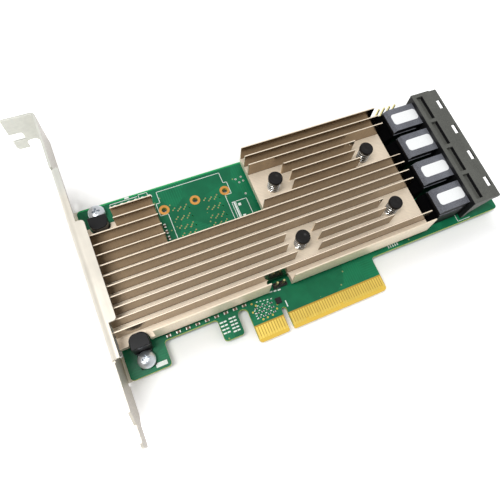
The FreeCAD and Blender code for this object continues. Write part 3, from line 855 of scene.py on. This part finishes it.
    def joined(self, *others: "Piece") -> "Piece":
        """Join other pieces into this one.

        Args:
            others: The others.

        Returns:
            This piece.
        """
        self.hold(*others)
        bpy.ops.object.join()
        return self

    def delete(self, *others: "Piece") -> None:
        """Remove this piece and others."""
        self.hold(*others)
        bpy.ops.object.delete()

    def bored(self, tool: "Piece") -> "Piece":
        """Cut a tool's shape out of the piece and drop the tool.

        Args:
            tool: The tool.

        Returns:
            The piece.
        """
        self.modified("BOOLEAN", operation="DIFFERENCE", object=tool.shape, solver="EXACT")
        tool.delete()
        return self

    @staticmethod
    def from_node(node: str, name: str) -> "Piece":
        """Copy a CAD node as one merged mesh with its flat faces whole.

        Args:
            node: The node's name.
            name: The copy's name.

        Returns:
            The copy, free of the node's place in the frame.
        """
        made = Piece(frame["nodes"][node]).twin().named(name)
        made.shape.parent = None
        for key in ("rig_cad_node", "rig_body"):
            del made.shape[key]
        made.shape.data.name = name
        made.shape.data.materials.clear()
        weld = partial(bpy.ops.mesh.remove_doubles, threshold=NODE_WELD)
        return made.worked(weld, partial(bpy.ops.mesh.dissolve_limited, angle_limit=FLAT))

    def paint(self, finish: Finish) -> "Piece":
        """Give the whole piece one finish.

        Args:
            finish: The finish.

        Returns:
            The piece.
        """
        self.shape.data.materials.clear()
        self.shape.data.materials.append(finish.material())
        return self

    def paint_picked(self, finish: Finish) -> "Piece":
        """Give the faces picked in edit mode a finish of their own.

        Args:
            finish: The finish.

        Returns:
            The piece.
        """
        self.shape.data.materials.append(finish.material())
        self.shape.active_material_index = len(self.shape.data.materials) - 1
        bpy.ops.object.material_slot_assign()
        self.clear()
        return self


def dress(finish: Finish, *nodes: str) -> None:
    """Give CAD nodes a finish.

    Args:
        finish: The finish.
        nodes: Names of the nodes.
    """
    for node in nodes:
        Piece(frame["nodes"][node]).paint(finish)
        log.info("dressed %s in %s", node, finish.name)


def fit(made: Piece, slot: str, *nodes: str) -> None:
    """Set a new piece on the card.

    Args:
        made: The finished piece.
        slot: The record's material slot; not used.
        nodes: CAD nodes that it stands for.
    """
    piece = made.shape
    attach(piece, "root")
    if nodes:
        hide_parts(*nodes)
    log.info("fitted %s: %d faces", piece.name, len(piece.data.polygons))


@dataclass
class Board:
    """The bare board with its fingers, lands and printed marks; places are from its left edge."""

    ink: float = 0.11
    film: float = 0.02
    lines: tuple[Places, ...] = (
        ((27.1, 57.2), (27.1, 62.4), (28.6, 62.4), (28.6, 67.0), (53.4, 67.0), (53.4, 62.4),
         (54.8, 62.4), (54.8, 57.2), (52.2, 57.2), (52.2, 46.6)),
        ((27.1, 57.2), (30.0, 57.2), (30.0, 43.5)),
        ((54.9, 46.4), (54.9, 53.4), (59.4, 53.4), (59.4, 46.4)),
        ((53.5, 46.4), (53.5, 53.2), (54.9, 53.4)),
        ((11.6, 63.5), (11.6, 67.7), (21.6, 67.7)),
        ((22.2, 66.4), (22.2, 68.2), (25.4, 68.2), (25.4, 66.4)),
        ((136.0, 17.4), (136.0, 14.0), (141.8, 14.0)),
    )
    bars: tuple[tuple[Point, Point], ...] = (
        ((54.05, 46.4), (54.65, 53.2)), ((55.5, 51.2), (56.6, 52.3)), ((55.6, 46.2), (56.7, 47.3)),
        ((17.2, 68.1), (18.8, 68.8)), ((56.9, 8.2), (57.3, 10.6)), ((52.9, 15.2), (54.1, 15.7)),
        ((54.5, 15.0), (55.6, 15.5)), ((56.0, 14.8), (57.2, 15.3)), ((8.6, 5.8), (12.4, 7.3)),
    )
    clusters: Places = tuple((x, y) for x in (35.0, 47.0) for y in (57.7, 53.9, 50.1, 46.9))
    rods: tuple[Places, ...] = (
        ((-2.98, 0.13), (-2.19, 0.81)), ((-1.33, -0.62), (-0.64, -0.10), (0.04, 0.47)),
        ((0.90, -0.72), (1.59, 0.0), (2.29, 0.77)), ((2.96, -0.61), (2.96, -0.61)),
    )
    streak: Places = ((-0.42, -0.09), (0.42, 0.09))
    code: tuple[Places, ...] = (((-1.3, -0.26), (-0.1, 0.26)), ((0.15, -0.26), (1.2, 0.26)))
    code_places: Places = (
        *((33.9, y) for y in (11.7, 10.4, 9.1, 7.8)),
        *((37.3, y) for y in (12.0, 10.8, 9.6, 8.4, 7.2)),
    )
    stroke: Places = ((-0.22, -0.9), (0.22, 0.8))
    stroke_places: Places = tuple((103.0 + i, 15.1) for i in range(5))
    tick: Places = ((-0.28, -0.16), (0.28, 0.16))
    tick_places: Places = (
        *((47.15 + 1.9 * c, 9.1 + 1.7 * r) for c in range(3) for r in range(3)),
        *((45.5, y) for y in (8.2, 9.2, 10.2, 11.2)),
        *((47.4 + 1.3 * i, 13.9 - 0.2 * i) for i in range(5)),
    )
    gold_places: Places = (
        (44.7, 10.9), (53.2, 9.0), (50.9, 7.5), (47.2, 7.3),
        (48.9, 7.4), (45.4, 13.9), (53.9, 10.4), (46.6, 12.8),
    )
    point_places: Places = ((58.5, 62.2), (59.4, 60.5), (61.1, 60.7), (60.8, 62.6), (59.9, 55.2))
    header_places: Places = tuple((13.2 + 2.54 * i, 66.2) for i in range(6))
    land_sides: int = 12
    land_rim: float = 0.55
    # Radius within which the land's middle face is painted dark as the shade of a hole.
    hole_shade_radius: float = 0.02

    def bar(self, low: Point, high: Point) -> Piece:
        """Print one plain bar between two corners in plan, as a thin raised film."""
        return Piece.sheet("bar", low, high, 0.0).edit().raised(0, self.film).closed()

    def line(self, start: Point, end: Point) -> Piece:
        """Print one straight line, along the board or across it."""
        (left, right), (near, far) = map(sorted, zip(start, end))
        return self.bar((left - self.ink, near - self.ink), (right + self.ink, far + self.ink))

    def land(self, radius: float, finish: Finish) -> Piece:
        """A small round land with a dark disc in its middle, painted as the shade in its hole, at the origin.

        Args:
            radius: Its radius.
            finish: Its plating.

        Returns:
            The land.
        """
        Piece.clear()
        bpy.ops.mesh.primitive_circle_add(vertices=self.land_sides, radius=radius * MM, fill_type="NGON")
        land = Piece.settled("land")
        land.edit().raised(0, self.film * 1.5)
        bpy.ops.mesh.inset(thickness=radius * self.land_rim * MM)
        land.closed().paint(finish)
        # The middle face takes the dark colour: painted shade of a hole.
        land.pick(lambda middle, normal: normal.z > 0.9 and middle.xy.length < self.hole_shade_radius * MM)
        return land.paint_picked(HOLE_SHADE)

    def printed(self) -> Piece:
        """All the printed lines, bars, codes and strokes.

        Returns:
            The print in one piece.
        """
        pieces = [self.line(start, end) for path in self.lines for start, end in zip(path, path[1:])]
        pieces += [self.bar(*corners) for corners in self.bars]
        first, second = (self.bar(*corners) for corners in self.code)
        pieces.append(first.joined(second).repeated(self.code_places))
        pieces.append(self.bar(*self.stroke).repeated(self.stroke_places))
        pieces.append(self.bar(*self.tick).repeated(self.tick_places))
        return pieces[0].joined(*pieces[1:]).paint(INK)

    def make(self) -> None:
        """Dress the board's nodes and add its marks."""
        dress(MASK, "circuit_board")
        dress(GOLD, "edge_contacts_front", "edge_contacts_back")
        dress(COPPER, "plated_hole_rings")
        rods = [[(x + u, y + v) for u, v in rod] for x, y in self.clusters for rod in self.rods]
        spots = [place for rod in rods for place in rod]
        gaps = [((a + c) / 2, (b + d) / 2) for rod in rods for (a, b), (c, d) in zip(rod, rod[1:])]
        streaks = self.bar(*self.streak).spun(-math.pi / 4).closed().repeated(gaps).paint(GLOW)
        pieces = {
            "printed_marks": (self.printed(), "label_stock"),
            "thin_mask_streaks": (streaks, "solder_mask"),
            "site_lands": (self.land(0.26, VIA).repeated(spots), "copper_land"),
            "gold_lands": (self.land(0.34, GOLD).repeated(self.gold_places), "gold_plating"),
            "test_points": (self.land(0.4, TIN).repeated(self.point_places), "copper_land"),
            "header_lands": (self.land(0.85, PAPER).repeated(self.header_places), "copper_land"),
        }
        for name, (piece, slot) in pieces.items():
            fit(piece.named(name).moved(LEFT, 0), slot)


@dataclass
class Cooler:
    """The heat sink with its push pins, springs and clips."""

    floor: float = 5.2
    head_under: float = 11.5
    head_top: float = 13.0
    wire: float = 0.5
    coil: float = 2.2
    turns: int = 4
    head: float = 2.7
    shaft: float = 1.45
    barb: float = 2.0
    tip: float = -3.77
    slit: Triple = (0.3, 3.0, 3.0)
    slit_edge: float = 0.08
    wire_sides: int = 12
    turn_steps: int = 32
    end_steps: int = 40
    pins: Places = ((14.12, 26.925), (52.88, 26.925), (14.12, 51.675), (52.88, 51.675))

    def pin(self) -> Piece:
        """One moulded push pin at the origin.

        Returns:
            The pin, with a dished head, a collar and a split barb.
        """
        top, under, head, tip = self.head_top, self.head_under, self.head, self.tip
        profile = (
            (0.0, top - 0.18), (0.9, top - 0.15), (1.2, top), (head - 0.55, top), (head - 0.2, top - 0.08),
            (head - 0.05, top - 0.25), (head, top - 0.5), (head, under + 0.1), (head - 0.1, under),
            (self.shaft, under), (self.shaft, SOLDER_SIDE), (self.barb, SOLDER_SIDE - 0.33),
            (self.barb - 0.1, SOLDER_SIDE - 0.6), (0.85, tip + 0.15), (0.65, tip), (0.0, tip),
        )
        pin = Piece.turned("pin", profile)
        width, length, height = self.slit
        slit = Piece.block("slit", (-width, -length, tip - 1), (width, length, tip + height)).edit()
        bpy.ops.mesh.bevel(offset=self.slit_edge * MM, segments=2)
        return pin.bored(slit.closed()).smoothed()

    def spring(self) -> Piece:
        """One coil spring at the origin, with a closed turn at each end.

        Returns:
            The spring.
        """
        low = self.floor + self.wire / 2
        rise = self.head_under - self.floor - self.wire
        radius, thickness = self.coil * MM, self.wire / 2 * MM
        Piece.clear()
        bpy.ops.mesh.primitive_circle_add(
            vertices=self.wire_sides, radius=thickness, location=(radius, 0, low * MM),
            rotation=(math.pi / 2, 0, 0),
        )
        steps = self.turns * self.turn_steps
        coil = Piece.settled("spring").modified(
            "SCREW", angle=2 * math.pi * self.turns, screw_offset=rise * MM, steps=steps, render_steps=steps,
            use_normal_calculate=True,
        )
        ends = []
        for height in (low, low + rise):
            Piece.clear()
            bpy.ops.mesh.primitive_torus_add(
                major_radius=radius, minor_radius=thickness, major_segments=self.end_steps,
                minor_segments=self.wire_sides, location=(0, 0, height * MM),
            )
            ends.append(Piece.settled("end"))
        return coil.closed().joined(*ends).smoothed(60.0)

    def make(self) -> None:
        """Set the heat sink, clips, pins and springs."""
        sink = Piece.from_node("heat_sink", "finned_sink").softened(0.06, 1)
        fit(sink.paint(ANODISED_SHADED_SIDES), "champagne_aluminium", "heat_sink")
        for side in ("lower", "upper"):
            post = Piece.from_node(f"sink_clip_{side}", f"clip_post_{side}").softened(0.3, 3)
            fit(post.paint(CLIP), "clip_plastic", f"sink_clip_{side}")
        pin, spring = self.pin().paint(NYLON), self.spring().paint(CHROME)
        for number, place in enumerate(self.pins, 1):
            fit(pin.copy(*place).named(f"moulded_pin_{number}"), "black_nylon", f"push_pin_{number}")
            fit(spring.copy(*place).named(f"coil_{number}"), "spring_wire", f"pin_spring_{number}")
        pin.delete(spring)


@dataclass
class Bracket:
    """The folded bracket and its two screws."""

    screws: Places = ((-48.8, 9.4), (-48.8, 65.3))
    seat: float = 1.2
    rise: float = 2.1
    head: float = 3.0
    shaft: float = 1.45
    tip: float = -3.73
    sides: int = 48
    blade: Point = (0.42, 1.65)
    recess: float = 1.15
    taper: float = 0.55

    def screw(self) -> Piece:
        """One pan-head screw at the origin.

        Returns:
            The screw, with its cross recess cut.
        """
        top, seat, tip = self.seat + self.rise, self.seat, self.tip
        profile = (
            (0.0, top), (0.9, top - 0.03), (1.7, top - 0.2), (2.4, top - 0.55), (2.82, top - 1.0),
            (self.head, top - 1.4), (self.head, seat + 0.1), (self.head - 0.1, seat),
            (self.shaft, seat), (self.shaft, tip + 0.3), (self.shaft - 0.3, tip), (0.0, tip),
        )
        screw = Piece.turned("screw", profile, self.sides)
        for width, length in (self.blade, self.blade[::-1]):
            blade = Piece.block("blade", (-width, -length, top - self.recess), (width, length, top + 0.5))
            blade.pick(lambda middle, normal: normal.z < -0.9)
            bpy.ops.transform.resize(value=(self.taper, self.taper, 1.0))
            blade.clear()
            screw.bored(blade)
        return screw.smoothed()

    def make(self) -> None:
        """Soften the sheet's edges and set the screws."""
        plate = Piece.from_node("bracket", "folded_bracket").softened(0.10, 2)
        fit(plate.paint(NICKEL), "bracket_steel", "bracket")
        screws = self.screw().repeated(self.screws).named("pan_head_screws")
        fit(screws.paint(BRIGHT), "screw_steel", "bracket_screws")


@dataclass
class Sockets:
    """The four cable sockets under one hood, with their blank labels."""

    heights: tuple[float, ...] = (22.05, 34.82, 47.59, 60.36)
    label_start: float = 70.1
    label_size: Point = (11.6, 4.9)
    label_radius: float = 1.3
    roof: float = 11.5
    label_film: float = 0.1

    def label(self, height: float) -> Piece:
        """One blank label with round corners.

        Args:
            height: Its middle along the row of sockets.

        Returns:
            The label on its socket's roof.
        """
        length, width = self.label_size
        low = (self.label_start, height - width / 2)
        high = (self.label_start + length, height + width / 2)
        label = Piece.sheet("label", low, high, self.roof).edit(Grip.POINTS)
        bpy.ops.mesh.bevel(offset=self.label_radius * MM, segments=7, affect="VERTICES")
        bpy.ops.mesh.select_all(action="SELECT")
        return label.raised(0, self.label_film).closed()

    def make(self) -> None:
        """Dress the sockets and hood and set the labels."""
        hood = Piece.from_node("connector_shroud", "socket_hood").softened(0.12, 2).paint(HOOD)
        # Faces turned to the left take the dark colour: painted shade.
        hood.pick(lambda middle, normal: normal.x < -0.8).paint_picked(HOOD_BACK_SHADE)
        fit(hood, "shroud_plastic", "connector_shroud")
        for number, height in enumerate(self.heights, 1):
            body = Piece.from_node(f"receptacle_{number}", f"socket_body_{number}").softened(0.15, 2)
            # Faces turned up take the roof's own grey; the other faces' near-black is painted shade.
            body.paint(SOCKET_SIDES_SHADED).pick(lambda middle, normal: normal.z > 0.5).paint_picked(ROOF)
            fit(body, "socket_plastic", f"receptacle_{number}")
            label = self.label(height).named(f"blank_label_{number}").paint(PAPER)
            fit(label, "label_stock", f"port_label_{number}")
            # Terminal blocks in near-black: black plastic with painted shade.
            dress(TERMINAL_SHADED, f"terminal_block_{number}")
            dress(GOLD, f"contact_set_{number}")


@dataclass
class Chip:
    """A small two-ended chip with tinned ends."""

    length: float
    width: float
    thickness: float
    body: Finish
    under: float = 0.0
    end_share: float = 0.24
    swell: float = 0.02
    edge: float = 0.04

    def model(self, upright: bool) -> Piece:
        """One chip at the origin.

        Args:
            upright: Whether its length lies across the card instead of along it.

        Returns:
            The chip, its ends swollen and tinned.
        """
        half, side, swell = self.length / 2, self.width / 2, self.swell
        low = (-half + swell, -side + swell, self.under)
        high = (half - swell, side - swell, self.under + self.thickness - swell)
        chip = Piece.block("chip", low, high)
        cut = half * (1 - 2 * self.end_share)
        for x in (-cut, cut):
            chip.edit()
            bpy.ops.mesh.bisect(plane_co=(x * MM, 0, 0), plane_no=Axis.ALONG.value)
        chip.clear()
        chip.paint(self.body).pick(lambda middle, normal: abs(middle.x) > cut * MM and normal.z > -0.5)
        bpy.ops.transform.shrink_fatten(value=swell * MM)
        chip.paint_picked(TIN)
        if upright:
            chip.spun(math.pi / 2)
        return chip.softened(self.edge, 1)


@dataclass
class SmallParts:
    """Surface-mounted parts, pin headers and the controller."""

    capacitor_places: Places = tuple((15.5 + LEFT + 3.4 * i, 14.3) for i in range(9))
    resistor_places: Places = tuple(
        (46.2 + LEFT + 1.9 * c, 8.3 + 1.7 * r) for r in range(3) for c in range(4)
    )
    back_places: Places = tuple((33.5 + 5.5 * i, 39.3 + 5.5 * j) for i in (-1, 0, 1) for j in (-1, 0, 1))
    site_places: Places = tuple((27.25 + LEFT, 45.2 + 2.5 * i) for i in range(4))
    capacitor: Triple = (1.6, 0.8, 0.7)
    resistor: Triple = (1.0, 0.5, 0.35)

    def make(self) -> None:
        """Set the chips and dress the other small nodes."""
        capacitor = Chip(*self.capacitor, CAPACITOR)
        resistor = Chip(*self.resistor, RESISTOR)
        behind = Chip(*self.capacitor, CAPACITOR, SOLDER_SIDE - self.capacitor[2])
        for chip, upright, places, name, slot, node in (
            (capacitor, False, self.capacitor_places, "edge_chips", "capacitor_body", "edge_capacitors"),
            (capacitor, True, self.site_places, "upright_chips", "capacitor_body", "site_chips"),
            (resistor, False, self.resistor_places, "tongue_chips", "resistor_body", "edge_resistors"),
            (behind, False, self.back_places, "back_chips", "capacitor_body", "back_capacitors"),
        ):
            fit(chip.model(upright).repeated(places).named(name), slot, node)
        dress(HEADER, "header_base", "jumper_base")
        dress(BRASS, "header_pins", "jumper_pins")
        dress(SUBSTRATE, "controller_substrate")
        dress(LID, "controller_lid", "crystal")
        dress(COMPOUND, "thermal_pad")
        dress(FERRITE, "regulator_inductors")
        dress(EPOXY, "regulator_chips", "flash_chip", "tongue_chip")


@dataclass
class Studio:
    """White table, soft surroundings, one soft lamp and the camera; lengths are in metres."""

    table: Triple = (0.02, 0.04, -0.00385)
    reach: float = 20.0
    white: Point = (0.92, 0.94)
    shadow_middle: Point = (0.02, 0.038)
    shadow_half: Point = (0.085, 0.04)
    shadow_edge: float = 0.012
    faint: float = 0.02
    glow: float = 0.7
    mirrored: float = 0.5
    bright: float = 0.9
    dim: float = 0.14
    horizon: float = 0.75
    skyline: Point = (0.05, 0.3)
    shade: Triple = (-0.298, -0.328, 0.896)
    shade_edge: Point = (0.80, 0.95)
    lean: float = 0.25
    lamp_place: Triple = (-0.44, 0.0, 1.22)
    lamp_aim: Triple = (0.02, 0.04, 0.0)
    lamp_size: Point = (0.25, 0.6)
    lamp_power: float = 9.0
    eye: Triple = (-0.037116, -0.022965, 0.175579)
    right: Triple = (0.89763509, -0.41115366, 0.15875744)
    up: Triple = (0.32972625, 0.86548044, 0.37712625)
    back: Triple = (-0.29245829, -0.28617526, 0.91245376)
    lens: float = 36.30
    sensor: float = 36.0
    shift: Point = (-0.1086, -0.0348)
    near: float = 0.005

    def floor(self) -> None:
        """Lay a white table that glows past the card, so that it keeps the card's shadow."""
        Piece.clear()
        bpy.ops.mesh.primitive_plane_add(size=self.reach, location=self.table)
        floor = Piece.settled("table_top").shape
        shader = Shader("white_table")
        ray, glossy, clear = (
            shader.node("ShaderNodeLightPath", output=f"Is {kind} Ray")
            for kind in ("Camera", "Glossy", "Transmission")
        )
        seen = ray.larger(glossy.larger(clear) * self.mirrored)
        along = abs(shader.x - self.shadow_middle[0]) - self.shadow_half[0]
        across = abs(shader.y - self.shadow_middle[1]) - self.shadow_half[1]
        past = along.larger(across).smooth(-self.shadow_edge, self.shadow_edge)
        shader.show(
            Base_Color=shader.mix(shader.noise(30.0, 2.0), *map(even, self.white)),
            Roughness=0.8,
            Specular_IOR_Level=0.1,
            Emission_Color=shader.mix(seen * past, even(self.faint), even(self.glow)),
            Emission_Strength=1.0,
        )
        floor.data.materials.append(shader.material)
        floor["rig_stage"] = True

    def surroundings(self) -> None:
        """A white tent, brighter on the card's right, with a dim patch where the photographer stands."""
        world = bpy.data.worlds.new("pale_room")
        bpy.context.scene.world = world
        world.use_nodes = True
        graph = Graph(world.node_tree)
        along, across, rise = graph.split(graph.node("ShaderNodeTexCoord", output="Generated"))
        towards = along * self.shade[0] + across * self.shade[1] + rise * self.shade[2]
        ceiling = towards.smooth(*self.shade_edge, self.bright, self.dim) * (along * self.lean + 1.0)
        share = rise.smooth(*self.skyline)
        strength = ceiling * share + (1 - share) * self.horizon
        sky = graph.node("ShaderNodeBackground", {"Strength": strength})
        graph.add("ShaderNodeOutputWorld", {"Surface": sky})

    def lamp(self) -> None:
        """One strip lamp overhead in line with the fins, so that it lights the floors between them."""
        data = bpy.data.lights.new("soft_lamp", "AREA")
        data.shape = "RECTANGLE"
        data.size, data.size_y = self.lamp_size
        data.energy = self.lamp_power
        lamp = bpy.data.objects.new("soft_lamp", data)
        bpy.context.scene.collection.objects.link(lamp)
        lamp.location = self.lamp_place
        aim = Vector(self.lamp_aim) - lamp.location
        lamp.rotation_euler = aim.to_track_quat("-Z", "Y").to_euler()

    def camera(self) -> None:
        """Stand the camera where the photograph was taken from."""
        data = bpy.data.cameras.new("camera")
        data.lens = self.lens
        data.sensor_width = self.sensor
        data.shift_x, data.shift_y = self.shift
        data.clip_start = self.near
        camera = bpy.data.objects.new("camera", data)
        bpy.context.scene.collection.objects.link(camera)
        turn = Matrix((self.right, self.up, self.back)).transposed()
        camera.matrix_world = Matrix.Translation(self.eye) @ turn.to_4x4()
        bpy.context.scene.camera = camera

    def make(self) -> None:
        """Set the stage."""
        bpy.context.scene.view_settings.view_transform = "Standard"
        self.floor()
        self.surroundings()
        self.lamp()
        self.camera()
        log.info("set the table, lamp and camera")


def corners() -> list[list[float]]:
    """The shown object's lowest and highest corner as plain lists."""
    return [list(corner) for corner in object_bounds()]


def main() -> None:
    """Build the card's looks in order."""
    logging.basicConfig(level=logging.INFO, format="%(message)s")
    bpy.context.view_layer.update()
    for assembly in (Board(), Cooler(), Bracket(), Sockets(), SmallParts(), Studio()):
        assembly.make()


if __name__ == "__main__":
    main()
